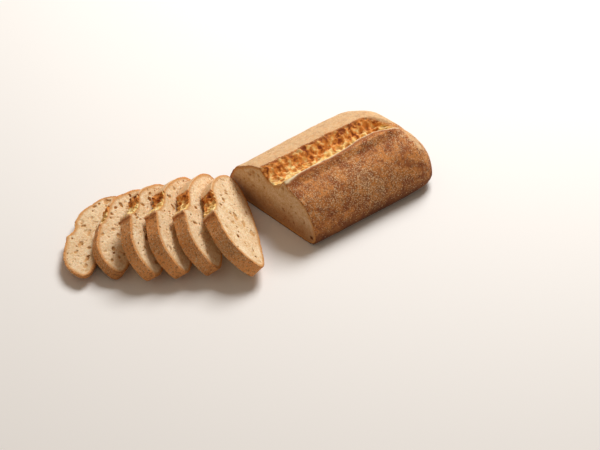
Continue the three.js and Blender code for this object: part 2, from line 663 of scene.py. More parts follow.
@dataclass(frozen=True)
class CrumbPores:
    """Pores of the crumb, and how rough the knife left it.

    Each size is a smallest and a largest radius, and the number in a cubic centimetre.
    """

    sizes: tuple[tuple[float, float, float], ...] = (
        (0.8, 1.2, 14.0),
        (1.2, 2.0, 5.0),
        (2.0, 3.2, 0.5),
    )
    seed_step: int = 7
    small_bias: float = 1.4
    crust_margin: float = 2.2
    crust_share: float = 0.7
    shallow: float = 0.5
    stretch: float = 0.5
    reach_in: float = 9.0
    past_cut: float = 2.0
    warp: float = 0.8
    warp_cell: float = 3.0
    warp_depth: float = 8.0
    window_margin: float = 1.5
    rough: float = 0.26
    rough_cell: float = 1.7
    rough_stretch: tuple[float, float, float] = (0.3, 1.0, 1.0)
    wave: float = 0.3
    wave_cell: float = 6.0
    wave_stretch: tuple[float, float, float] = (0.02, 1.0, 0.4)
    hollow_wave: float = 0.3
    hollow_wave_cell: float = 2.6


@dataclass(frozen=True)
class BakeMarks:
    """Where the crust darkens, partly as painted shade, and where it takes its flour.

    Places ending in back are behind the ear's edge, and a wobble is how far noise moves one.
    Mixes are an even share and then the shares of the slow and of the uneven noise.
    """

    uneven_cell: float = 4.0
    slow_cell: float = 26.0
    skin: tuple[float, float] = (0.7, 1.7)
    torn_far_foot: tuple[float, float] = (0.1, 0.8)
    torn_near_foot: tuple[float, float] = (0.0, 0.6)
    edge_back: float = 0.9
    edge_width: float = 1.25
    edge_wobble: float = 0.6
    edge_strength: float = 0.45
    edge_strength_by_ear: float = 0.55
    # A dark broken line behind the ear's edge is painted shade in its crease; a dark line lies by the
    # far lip.
    crease_shade_back: float = 3.7
    crease_shade_width: float = 0.6
    crease_shade_wobble: float = 0.7
    crease_shade_mix: tuple[float, float, float] = (0.5, 0.0, 0.9)
    far_dark_lip: float = 1.0
    far_dark_lip_wobble: float = 0.5
    far_dark_lip_mix: tuple[float, float, float] = (0.7, 0.6, 0.0)
    band_start: tuple[float, float] = (2.2, 3.2)
    band_end: tuple[float, float] = (4.5, 8.0)
    band_wobble: float = 2.0
    past_stop: tuple[float, float] = (-14.0, 4.0)
    end_round: tuple[float, float] = (-26.0, 10.0)
    end_round_wobble: tuple[float, float, float] = (0.0, 9.0, 4.0)
    end_flour: float = 0.8
    end_dust: float = 0.7
    end_dust_up: tuple[float, float] = (32.0, 44.0)
    far_side: tuple[float, float] = (-1.0, 0.0)
    far_side_wobble: float = 0.4
    far_side_up: tuple[float, float] = (20.0, 42.0)
    far_side_up_wobble: tuple[float, float, float] = (0.0, 5.0, 3.0)
    far_side_mix: tuple[float, float, float] = (1.0, 0.15, 0.0)
    near_flour_mix: tuple[float, float, float] = (0.52, 0.6, 0.25)
    near_flour_limits: tuple[float, float] = (0.08, 0.85)
    near_flour_back: tuple[float, float] = (3.4, 6.0)
    near_flour_up: tuple[float, float] = (4.0, 26.0)
    band_bareness: float = 0.55
    # The crust darkens towards its base, partly from browning and partly as painted shade.
    browned_and_shaded_up: tuple[float, float] = (2.0, 27.0)
    browned_wobble: float = 0.25
    # Painted shade on the loaf's cut face, strongest towards its foot.
    painted_shade_up: tuple[float, float] = (5.0, 38.0)
    painted_shade_low: float = 1.7
    painted_shade_fall: float = 1.3
    yellow_width: float = 28.0
    yellow_fall: float = 0.5


@dataclass(frozen=True)
class Blotches:
    """The slow and the uneven noise of a piece's marks."""

    slow: np.ndarray
    uneven: np.ndarray

    def mix(self, shares: tuple[float, float, float]) -> np.ndarray:
        """An even share and shares of the two noises."""
        even, slow, uneven = shares
        return even + slow * self.slow + uneven * self.uneven


@dataclass(frozen=True)
class Hollow:
    """A large open pore on a cut face: its middle, its size across and up, and its depth."""

    across: float
    up: float
    wide: float
    high: float
    deep: float


@dataclass
class BreadPiece:
    """One piece of the loaf: its crust, its cut faces and the marks that its finish reads."""

    name: str
    node: str
    bearings: Bearings
    first: float
    last: float
    cut: Cut
    step: float
    seed: int
    hollows: tuple[Hollow, ...]
    relief: CrustRelief = CrustRelief()
    score: ScoreShape = ScoreShape()
    pores: CrumbPores = CrumbPores()
    bake: BakeMarks = BakeMarks()
    score_width: float = 0.0
    score_stop: float = 1e6
    ear: float = 0.0
    # Share of painted shade on the crumb of the cut face.
    tone: float = 0.0
    # Darkening towards the base: partly browning, partly painted shade.
    browned_and_shaded: float = 0.25
    paler: float = 0.85
    station_step: float = 1.5
    tip_length: float = 0.0
    grid_margin: float = 3.4
    deepest_inset: float = 20.0

    def outlines(self) -> Outlines:
        """Measures the piece's sections.

        Returns:
            The sections, from one end of the piece to the other.
        """
        inset = 0.05
        count = max(int((self.last - self.first) / self.station_step), 3)
        stations = np.linspace(self.first + inset, self.last - inset, count)
        return Outlines(self.bearings, solid_triangles(self.node), stations, self.score_width)

    def score_places(self, outlines: Outlines, places: np.ndarray, noise: Noise) -> ScorePlaces:
        """Measures places from the score.

        Args:
            outlines: The measured sections.
            places: Places in the piece's coordinates.
            noise: Noise that makes the lips ragged.

        Returns:
            The places as the score sees them.
        """
        s, stop = self.score, self.score_stop
        along, across, up = places.T
        lip_near, lip_far = outlines.lips()
        line = np.stack([along, np.zeros_like(along), np.zeros_like(along)], axis=1)
        wander = s.ragged * noise.layered(line + Shift.LIPS, s.ragged_cell)
        scallop = s.scallop * noise.layered(line + Shift.SCALLOP, s.scallop_cell)
        near = across - np.interp(along, outlines.stations, lip_near) - s.near_raggedness * wander
        far = across - np.interp(along, outlines.stations, lip_far) - scallop
        far = far - s.taper * smoothstep(along, stop - s.taper_over, stop)
        ear = s.ear_lean * smoothstep(along, *s.ear_along)
        ear = ear + s.ear_more * smoothstep(along, *s.ear_more_along)
        closing = smoothstep(along, stop - s.ear_closing[0], stop - s.ear_closing[1])
        lean = s.lean + self.ear * ear * (1 - s.ear_closed * closing)
        lean = np.maximum(lean + self.ear * wander, s.least_lean)
        opened = 1 - smoothstep(along, stop - s.closing_over, stop)
        return ScorePlaces(near, far, lean, opened * smoothstep(up, *s.dome))

    def crust_relief(self, places: np.ndarray, score: ScorePlaces, noise: Noise) -> np.ndarray:
        """Height of the crust's swells, wrinkles and grain, with a crease along the ear.

        Args:
            places: Places in the piece's coordinates.
            score: The places as the score sees them.
            noise: Noise for the unevenness.

        Returns:
            A height at every place.
        """
        r = self.relief
        crust = r.swell * noise.layered(places, r.swell_cell, 2)
        crust += r.wrinkle * noise.layered(places + Shift.WRINKLE, r.wrinkle_cell)
        crust += r.grain * noise.layered(places + Shift.GRAIN, r.grain_cell, 2)
        crease = r.crease * bell(score.near, -score.lean + r.crease_back, r.crease_width)
        crust -= crease * score.opened * min(self.ear, 1)
        return crust

    def floor_relief(self, places: np.ndarray, score: ScorePlaces, noise: Noise) -> np.ndarray:
        """Height of the score's torn floor: pockets, pits and threads, and its far wall.

        Args:
            places: Places in the piece's coordinates.
            score: The places as the score sees them.
            noise: Noise for the threads and the pockets' sway.

        Returns:
            A height at every place.
        """
        r = self.relief
        shifts = (Shift.SWAY, Shift.SWAY_ACROSS)
        sway = np.stack([noise.at(places + shift, r.sway_cell) for shift in shifts], axis=1)
        flat = places[:, :2] + r.sway * sway
        nearest, second = cell_distances(flat, r.pocket_cell, self.seed)
        small, small_next = cell_distances(flat + r.pit_shift, r.pit_cell, self.seed + 1)
        walls = smoothstep(second - nearest, *r.pocket_wall)
        pits = smoothstep(small_next - small, *r.pit_wall)
        threads = noise.layered(places * r.thread_stretch + Shift.THREAD, r.thread_cell, 2)
        deeper = 1 + r.deepening * smoothstep(places[:, 0], *r.deepening_along)
        floor = r.pocket * deeper * (r.pocket_level - walls) + r.pit * (r.pit_level - pits)
        floor = floor + r.thread * threads
        wall = r.far_wall * bell(score.far, *r.far_wall_at)
        groove = r.far_groove * bell(score.far, *r.far_groove_at)
        return floor + (wall - groove)

    def raised_ear(
        self,
        radii: np.ndarray,
        outlines: Outlines,
        places: np.ndarray,
        score: ScorePlaces,
        noise: Noise,
    ) -> np.ndarray:
        """Lifts the near lip into an ear that leans over the score.

        Args:
            radii: Distances from the core line, in a row.
            outlines: The measured sections.
            places: The crust's places, in the same order.
            score: The places as the score sees them.
            noise: Noise that makes the ear's crest uneven.

        Returns:
            The distances with the ear.
        """
        s = self.score
        top = 1 - smoothstep(-score.near, score.lean + s.ear_front[0], score.lean + s.ear_front[1])
        top = top * smoothstep(-score.near, *s.ear_back)
        height = outlines.lip_heights().repeat(outlines.angles)
        uneven = noise.at(places * s.ear_rise_stretch + Shift.EAR, s.ear_rise_cell)
        height = height + s.ear_rise * uneven
        height += s.ear_slope * -score.near - outlines.core_height - s.ear_drop
        rise = np.tile(np.maximum(np.sin(outlines.turns()), s.ear_steepest), len(outlines.stations))
        raised = np.maximum(radii, height / rise)
        return radii + (raised - radii) * top * score.opened * min(self.ear, 1)

    def baked_radii(self, outlines: Outlines, noise: Noise) -> np.ndarray:
        """Adds the crust's unevenness, the torn score and its ear to the measured sections.

        Args:
            outlines: The measured sections.
            noise: Noise for the unevenness.

        Returns:
            Distances from the core line by station and angle.
        """
        r = self.relief
        surface = outlines.surface()
        places = surface.reshape(-1, 3)
        score = self.score_places(outlines, places, noise)
        torn = score.torn(r.far_foot, r.near_foot)
        crust = self.crust_relief(places, score, noise)
        floor = self.floor_relief(places, score, noise)
        grounded = smoothstep(places[:, 2], *r.grounded)
        radii = outlines.radii.ravel() + (crust * (1 - torn) * grounded + floor * torn)
        return self.raised_ear(radii, outlines, places, score, noise).reshape(surface.shape[:2])

    def grid(self, outlines: Outlines) -> tuple[np.ndarray, np.ndarray, tuple[int, int, int]]:
        """The grid of places that the piece's field is worked out on.

        Args:
            outlines: The measured sections.

        Returns:
            The grid's places as rows, its first place, and its size.
        """
        places = outlines.surface().reshape(-1, 3)
        low = places.min(0) - self.grid_margin
        high = places.max(0) + self.grid_margin
        low[0], high[0] = self.first - self.grid_margin, self.last + self.grid_margin
        size = tuple(np.ceil((high - low) / self.step).astype(int) + 1)
        axes = [low[n] + self.step * np.arange(size[n]) for n in range(3)]
        mesh = np.meshgrid(*axes, indexing="ij")
        return np.stack([axis.ravel() for axis in mesh], axis=1), low, size

    def body(self, outlines: Outlines, radii: np.ndarray, places: np.ndarray) -> np.ndarray:
        """How far each place lies outside the crust, along its ray from the core line.

        Args:
            outlines: The measured sections.
            radii: Distances from the core line, by station and angle.
            places: Places in the piece's coordinates.

        Returns:
            A distance for every place, negative inside.
        """
        across, up = places[:, 1], places[:, 2] - outlines.core_height
        turn = np.arctan2(up, across)
        reach = outlines.look_up(radii, turn, places[:, 0])
        if self.tip_length:
            past = np.clip((places[:, 0] - outlines.stations[-1]) / self.tip_length, 0, 1)
            reach = reach * np.sqrt(1 - past**2)
        return np.hypot(across, up) - reach

    def cut_faces(self, places: np.ndarray, noise: Noise) -> np.ndarray:
        """How far each place lies outside the cut faces, which the knife left slightly rough.

        Args:
            places: Places in the piece's coordinates.
            noise: Noise for the roughness.

        Returns:
            A distance for every place, negative inside.
        """
        p = self.pores
        rough = p.rough * noise.layered(places * p.rough_stretch, p.rough_cell, 2)
        rough += p.wave * noise.layered(places * p.wave_stretch + Shift.WAVE, p.wave_cell, 2)
        outside = self.first - places[:, 0] + rough
        if self.cut is Cut.BOTH:
            outside = np.maximum(outside, places[:, 0] - self.last + rough)
        return outside

    def inset(self, places: np.ndarray) -> np.ndarray:
        """How far in from the nearest cut face each place lies.

        Args:
            places: Places in the piece's coordinates.

        Returns:
            A depth for every place, from 0.
        """
        depth = places[:, 0] - self.first
        if self.cut is Cut.BOTH:
            depth = np.minimum(depth, self.last - places[:, 0])
        return np.clip(depth, 0.0, self.deepest_inset)

    def bent_places(self, values: np.ndarray, places: np.ndarray, noise: Noise) -> np.ndarray:
        """The grid's places, moved about a little so that pores come out uneven.

        Args:
            values: The field on the grid.
            places: The grid's places, as rows.
            noise: Noise for the moves.

        Returns:
            The moved places, in the grid's shape.
        """
        p = self.pores
        near_skin = slice(None) if self.cut is Cut.BOTH else (values > -p.warp_depth).ravel()
        bent = places.copy()
        for axis in range(3):
            shifted = places[near_skin] + Shift.WARP_AXIS * axis + Shift.WARP
            bent[near_skin, axis] += p.warp * noise.at(shifted, p.warp_cell)
        return bent.reshape(*values.shape, 3)

    def pore_box(self, low: np.ndarray, size: np.ndarray) -> tuple[np.ndarray, np.ndarray]:
        """The box that pores are drawn in: all of a slice, or the loaf's part near its cut.

        Args:
            low: The grid's first place.
            size: The grid's size.

        Returns:
            The box's lowest and highest corners.
        """
        p = self.pores
        end = self.last if self.cut is Cut.BOTH else min(self.last, self.first + p.reach_in)
        box_low = np.array([self.first - p.past_cut, *low[1:]])
        box_high = np.array([end + p.past_cut, *(low[1:] + self.step * size[1:])])
        return box_low, box_high

    def window(
        self, middle: np.ndarray, shape: np.ndarray, low: np.ndarray, size: np.ndarray
    ) -> tuple[slice, ...]:
        """The block of the grid that holds a pore of a given middle and half sizes.

        Args:
            middle: The pore's middle.
            shape: Its half sizes.
            low: The grid's first place.
            size: The grid's size.

        Returns:
            One slice of the grid for each axis.
        """
        reach = shape.max() + self.pores.window_margin
        start = np.maximum(((middle - reach - low) / self.step).astype(int), 0)
        stop = np.minimum(((middle + reach - low) / self.step).astype(int) + 2, size)
        return tuple(slice(a, max(a, b)) for a, b in zip(start, stop))

    def open_pores(
        self,
        values: np.ndarray,
        bent: np.ndarray,
        crust: np.ndarray,
        closing: np.ndarray,
        low: np.ndarray,
    ) -> None:
        """Hollows the crumb's pores out of the piece's field.

        Args:
            values: The field on the grid, which is changed.
            bent: The grid's places, bent.
            crust: The distance outside the crust on the grid.
            closing: How much smaller pores are, the deeper in from a cut face they lie.
            low: The grid's first place.
        """
        p = self.pores
        size = np.array(values.shape)
        draw = np.random.default_rng(self.seed + p.seed_step)
        box_low, box_high = self.pore_box(low, size)
        volume_cm3 = np.prod((box_high - box_low) / MM_IN_CM)
        for small, large, per_cm3 in p.sizes:
            count = int(volume_cm3 * per_cm3)
            middles = draw.uniform(box_low, box_high, (count, 3))
            radii = small * (large / small) ** draw.uniform(0, 1, count) ** p.small_bias
            turns = draw.normal(size=(count, 3, 3))
            stretches = np.exp(draw.normal(0, p.stretch, (count, 3)))
            cells = np.round((middles - low) / self.step).astype(int)
            cells = np.clip(cells, 0, size - 1)
            depth = -crust[tuple(cells.T)]
            for n in np.flatnonzero(depth > p.crust_margin + p.crust_share * radii):
                axes, _ = np.linalg.qr(turns[n])
                shape = radii[n] * stretches[n] / stretches[n].prod() ** (1 / 3)
                window = self.window(middles[n], shape, low, size)
                own = (bent[window] - middles[n]) @ axes / shape
                pore = (1 - np.sqrt((own**2).sum(-1))) * shape.min() - closing[window]
                values[window] = np.maximum(values[window], pore)

    def open_hollows(
        self, values: np.ndarray, bent: np.ndarray, low: np.ndarray, noise: Noise
    ) -> None:
        """Hollows the large open pores out of the piece's field.

        Args:
            values: The field on the grid, which is changed.
            bent: The grid's places, bent.
            low: The grid's first place.
            noise: Noise that makes the hollows' edges wavy.
        """
        p = self.pores
        size = np.array(values.shape)
        face = self.last if self.cut is Cut.BOTH else self.first
        for n, hollow in enumerate(self.hollows):
            middle = np.array([face, hollow.across, hollow.up])
            shape = np.array([hollow.deep, hollow.wide, hollow.high])
            window = self.window(middle, shape, low, size)
            at = bent[window] - middle
            shifted = bent[window].reshape(-1, 3) + Shift.HOLLOW * n
            wavy = p.hollow_wave * noise.layered(shifted, p.hollow_wave_cell, 2)
            own = np.sqrt(((at / shape) ** 2).sum(-1)) + wavy.reshape(at.shape[:3])
            values[window] = np.maximum(values[window], (1 - own) * shape.min())

    def build(self) -> bpy.types.Object:
        """Makes the piece's mesh with its marks.

        The distance along a ray is divided by its slope, which makes it nearly a true one.

        Returns:
            The object, at the origin, with its place in its mesh.
        """
        flattest, steepest = 0.6, 12.0
        noise = Noise(self.seed)
        outlines = self.outlines()
        radii = self.baked_radii(outlines, noise)
        places, low, size = self.grid(outlines)
        plain = self.body(outlines, outlines.radii, places).reshape(size)
        slope = np.sqrt(sum(g**2 for g in np.gradient(blur(plain, 1.0, 0, False), self.step)))
        slope = np.clip(slope, flattest, steepest)
        crust = plain / slope
        values = self.body(outlines, radii, places).reshape(size) / slope
        values = np.maximum(values, self.cut_faces(places, noise).reshape(size))
        bent = self.bent_places(values, places, noise)
        closing = self.pores.shallow * self.inset(places).reshape(size)
        self.open_pores(values, bent, crust, closing, low)
        self.open_hollows(values, bent, low, noise)
        vertices, quads = largest_shell(*surface_net(values, low, self.step))
        depth = -trilinear(crust, (vertices - low) / self.step)
        marks = self.marks(outlines, vertices, depth, noise)
        LOG.info("%s: %d vertices, %d quads", self.name, len(vertices), len(quads))
        points = self.bearings.to_row(vertices)
        points[:, 2] = np.maximum(points[:, 2], 0.0)
        return write_mesh(self.name, points, quads, marks)

    def flour(
        self, places: np.ndarray, score: ScorePlaces, band: np.ndarray, blotches: Blotches
    ) -> np.ndarray:
        """How much flour stuck: patchy on the near side, even past the score and at the end.

        Args:
            places: The vertices, in the piece's coordinates.
            score: The places as the score sees them.
            band: The bare band along the near lip.
            blotches: The noises at the vertices.

        Returns:
            The flour's cover at every vertex, from 0.
        """
        b = self.bake
        along, across, up = places.T
        past = smoothstep(along - self.score_stop, *b.past_stop)
        far_side = 1 - smoothstep(score.far + b.far_side_wobble * blotches.uneven, *b.far_side)
        end = 1 - smoothstep(across + blotches.mix(b.end_round_wobble), *b.end_round)
        far_side = far_side + (b.end_flour * end - far_side) * past
        far_side = far_side * smoothstep(up + blotches.mix(b.far_side_up_wobble), *b.far_side_up)
        flour = blotches.mix(b.near_flour_mix)
        flour = flour * smoothstep(score.near + score.lean, *b.near_flour_back)
        flour = np.clip(flour, *b.near_flour_limits) * smoothstep(up, *b.near_flour_up)
        flour = flour * (1 - b.band_bareness * band * score.opened)
        flour = flour + blotches.mix(b.far_side_mix) * far_side
        return flour + b.end_dust * past * smoothstep(up, *b.end_dust_up)

    def marks(
        self, outlines: Outlines, places: np.ndarray, depth: np.ndarray, noise: Noise
    ) -> dict[str, np.ndarray]:
        """Works out what the finish reads at every vertex.

        Args:
            outlines: The measured sections.
            places: The vertices, in the piece's coordinates.
            depth: How far each lies in from the crust.
            noise: Noise that makes the marks' edges uneven.

        Returns:
            For each mark its value at every vertex.
        """
        b = self.bake
        along, _, up = places.T
        score = self.score_places(outlines, places, noise)
        slow = noise.layered(places + Shift.SLOW, b.slow_cell)
        uneven = noise.layered(places + Shift.UNEVEN, b.uneven_cell)
        blotches = Blotches(slow, uneven)
        skin = 1 - smoothstep(depth, *b.skin)
        torn = np.clip(score.torn(b.torn_far_foot, b.torn_near_foot), 0, 1)
        back = score.near + score.lean
        edge_back = b.edge_back + b.edge_back * self.ear
        edge = bell(back + b.edge_wobble * uneven, edge_back, b.edge_width) * score.opened
        edge = edge * (b.edge_strength + b.edge_strength_by_ear * self.ear)
        # Painted shade: a dark broken line in the crease behind the ear's edge.
        burn = bell(back + b.crease_shade_wobble * uneven, b.crease_shade_back, b.crease_shade_width)
        burn = burn * np.clip(blotches.mix(b.crease_shade_mix), 0, 1)
        # A dark line at the foot of the far lip.
        far_dark_lip = bell(score.far + b.far_dark_lip_wobble * uneven, b.far_dark_lip, b.far_dark_lip)
        burn = burn + far_dark_lip * np.clip(blotches.mix(b.far_dark_lip_mix), 0, 1)
        band = smoothstep(back, *b.band_start)
        band = band * (1 - smoothstep(back + b.band_wobble * uneven, *b.band_end))
        flour = self.flour(places, score, band, blotches)
        past = smoothstep(along - self.score_stop, *b.past_stop)
        shares = {
            # Painted shade on the loaf's cut crumb, darker towards its foot.
            "tone": self.tone * (b.painted_shade_low - b.painted_shade_fall * smoothstep(up, *b.painted_shade_up)),
            "pale": np.full(len(places), self.paler),
            "skin": skin,
            "torn": torn * skin,
            "edge": edge,
            "burn": burn * score.opened,
            "band": band * score.opened,
            "flour": np.clip(flour, 0, 1) * skin * (1 - torn),
            # Darker towards the base: partly browning, partly painted shade.
            "bake": (1 - smoothstep(up, *b.browned_and_shaded_up)) * self.browned_and_shaded + b.browned_wobble * slow,
            "nearness": (score.near + b.yellow_width) / b.yellow_width - b.yellow_fall * past,
        }
        marks = {name: np.clip(share, 0, 1) for name, share in shares.items()}
        return {**marks, "depth": depth, "inset": self.inset(places)}


def trilinear(values: np.ndarray, cells: np.ndarray) -> np.ndarray:
    """Reads a field between its grid points, at places given in cells.

    Args:
        values: The field on the grid.
        cells: Places, as rows counted in cells.

    Returns:
        One value for each place.
    """
    limit = np.array(values.shape) - 2
    low = np.clip(np.floor(cells).astype(int), 0, limit)
    t = np.clip(cells - low, 0, 1)
    total = np.zeros(len(cells))
    for bits, weight in corner_weights(t):
        total += weight * values[tuple((low + bits).T)]
    return total


def largest_shell(vertices: np.ndarray, quads: np.ndarray) -> tuple[np.ndarray, np.ndarray]:
    """Drops sealed pores and loose crumbs, so that one closed skin is left.

    Args:
        vertices: The vertices.
        quads: The quads.

    Returns:
        The vertices and quads of the largest connected part.
    """
    label = np.arange(len(vertices))
    while True:
        lowest = label[quads].min(1)
        new = label.copy()
        for corner in range(4):
            np.minimum.at(new, quads[:, corner], lowest)
        new = new[new]
        if (new == label).all():
            break
        label = new
    names, counts = np.unique(label, return_counts=True)
    keep = label == names[counts.argmax()]
    number = np.cumsum(keep) - 1
    return vertices[keep], number[quads[keep[quads[:, 0]]]]


def write_mesh(
    name: str, points: np.ndarray, quads: np.ndarray, marks: dict[str, np.ndarray]
) -> bpy.types.Object:
    """Writes a smooth mesh with its marks as attributes.

    Args:
        name: The object's name.
        points: The vertices in the row's frame, in millimetres.
        quads: The quads.
        marks: Values for every vertex.

    Returns:
        The object, linked to the scene.
    """
    mesh = bpy.data.meshes.new(name)
    mesh.vertices.add(len(points))
    mesh.vertices.foreach_set("co", (points * MM).astype(np.float32).ravel())
    mesh.loops.add(quads.size)
    mesh.loops.foreach_set("vertex_index", quads.astype(np.int32).ravel())
    mesh.polygons.add(len(quads))
    mesh.polygons.foreach_set("loop_start", np.arange(0, quads.size, 4, dtype=np.int32))
    mesh.update(calc_edges=True)
    mesh.polygons.foreach_set("use_smooth", np.ones(len(quads), bool))
    for mark, values in marks.items():
        layer = mesh.attributes.new(mark, "FLOAT", "POINT")
        layer.data.foreach_set("value", values.astype(np.float32))
    mesh.validate()
    made = bpy.data.objects.new(name, mesh)
    bpy.context.scene.collection.objects.link(made)
    return made


# --- Finishes -----------------------------------------------------------------------------------


NOISE = "ShaderNodeTexNoise"
CELLS = "ShaderNodeTexVoronoi"
SPAN = "ShaderNodeMapRange"
MATHS = "ShaderNodeMath"
MIX = "ShaderNodeMix"

SMOOTH = {"interpolation_type": "SMOOTHSTEP"}
TIMES = {"operation": "MULTIPLY"}
PLUS = {"operation": "ADD"}
COLOURS = {"data_type": "RGBA"}


def linear(colour: str) -> tuple[float, float, float, float]:
    """Turns an sRGB hex colour into the linear values that nodes take."""
    parts = [int(colour[n:n + 2], 16) / 255 for n in (1, 3, 5)]
    return (*(p / 12.92 if p <= 0.04045 else ((p + 0.055) / 1.055) ** 2.4 for p in parts), 1.0)


def add_node(
    tree: bpy.types.NodeTree,
    kind: str,
    inputs: dict[str, object] | tuple[object, ...] = (),
    output: str | None = None,
    **settings: object,
) -> bpy.types.NodeSocket | None:
    """Adds a node to a tree, with its settings, values and links.

    Args:
        tree: The tree.
        kind: The node's type.
        inputs: Sockets, values or hex colours for its inputs, in order or by name.
        output: The output wanted, or None for the first in use.
        settings: The node's own properties.

    Returns:
        The output, or None from a node that has none.
    """
    node = tree.nodes.new(kind)
    for key, value in settings.items():
        setattr(node, key, value)
    in_use = [socket for socket in node.inputs if socket.enabled]
    if isinstance(inputs, dict):
        wanted = [next(socket for socket in in_use if socket.name == name) for name in inputs]
        inputs = tuple(inputs.values())
    else:
        wanted = in_use[:len(inputs)]
    for socket, value in zip(wanted, inputs):
        if isinstance(value, bpy.types.NodeSocket):
            tree.links.new(value, socket)
        elif isinstance(value, str) and value.startswith("#"):
            socket.default_value = linear(value)
        else:
            socket.default_value = value
    if output:
        return node.outputs[output]
    return next((socket for socket in node.outputs if socket.enabled), None)


@dataclass(frozen=True)
class CrustFinish:
    """Wheat crust baked on a floured cloth: matt, mottled red-brown under a fine web of flour.

    The slices' crust is drawn paler and more golden. The web of flour is drawn as coarse as it needs
    to show.
    """

    light: str = "#d38a48"
    dark: str = "#955329"
    # Dark brown of the base, partly painted shade, and of the freckles.
    baked: str = "#4e2409"
    golden: str = "#e59d5b"
    band: str = "#b1683a"
    band_share: float = 0.6
    flour: str = "#e0b98a"
    dot_mm: float = 1.9
    mottle_mm: float = 10.0
    freckle_mm: float = 2.09
    streak_mm: float = 4.18
    patch_mm: float = 9.5


@dataclass(frozen=True)
class TornFinish:
    """Crumb that tore open in the oven: golden and knobbly, orange-brown on its high points."""

    gold: str = "#edbd6d"
    yellow: str = "#f5dc9c"
    orange: str = "#dc8a3b"
    dark: str = "#8c4519"
    cream: str = "#fbe9bf"
    # Share of dark colour in the painted crease shade behind the ear and at the far lip.
    crease_shade_and_dark_lip_share: float = 0.85
    edge_share: float = 0.95
    lump_mm: float = 6.5
    brown_mm: float = 5.85


@dataclass(frozen=True)
class CrumbFinish:
    """Cut crumb: matt cream with soft tan patches, and golden where it meets the crust."""

    cream: str = "#f5dfbb"
    shade: str = "#dcb483"
    tan: str = "#cb9a60"
    # Colour that multiplies the loaf's cut crumb as painted shade.
    brown: str = "#b98d62"
    rim: str = "#cb8f4e"
    cell_mm: float = 1.7
    cell_share: float = 0.6
    cloud_share: float = 0.4
    patch_mm: float = 5.0
    cloud_mm: float = 14.0


@dataclass(frozen=True)
class BreadSurface:
    """What crust and crumb share: dull, faintly translucent, and rough at two sizes."""

    roughness: float = 0.78
    specular: float = 0.25
    subsurface: float = 0.1
    subsurface_radius: tuple[float, float, float] = (1.0, 0.5, 0.25)
    subsurface_mm: float = 2.5
    fine_mm: float = 0.9
    coarse_mm: float = 3.0
    bump: float = 0.55
    bump_mm: float = 0.5


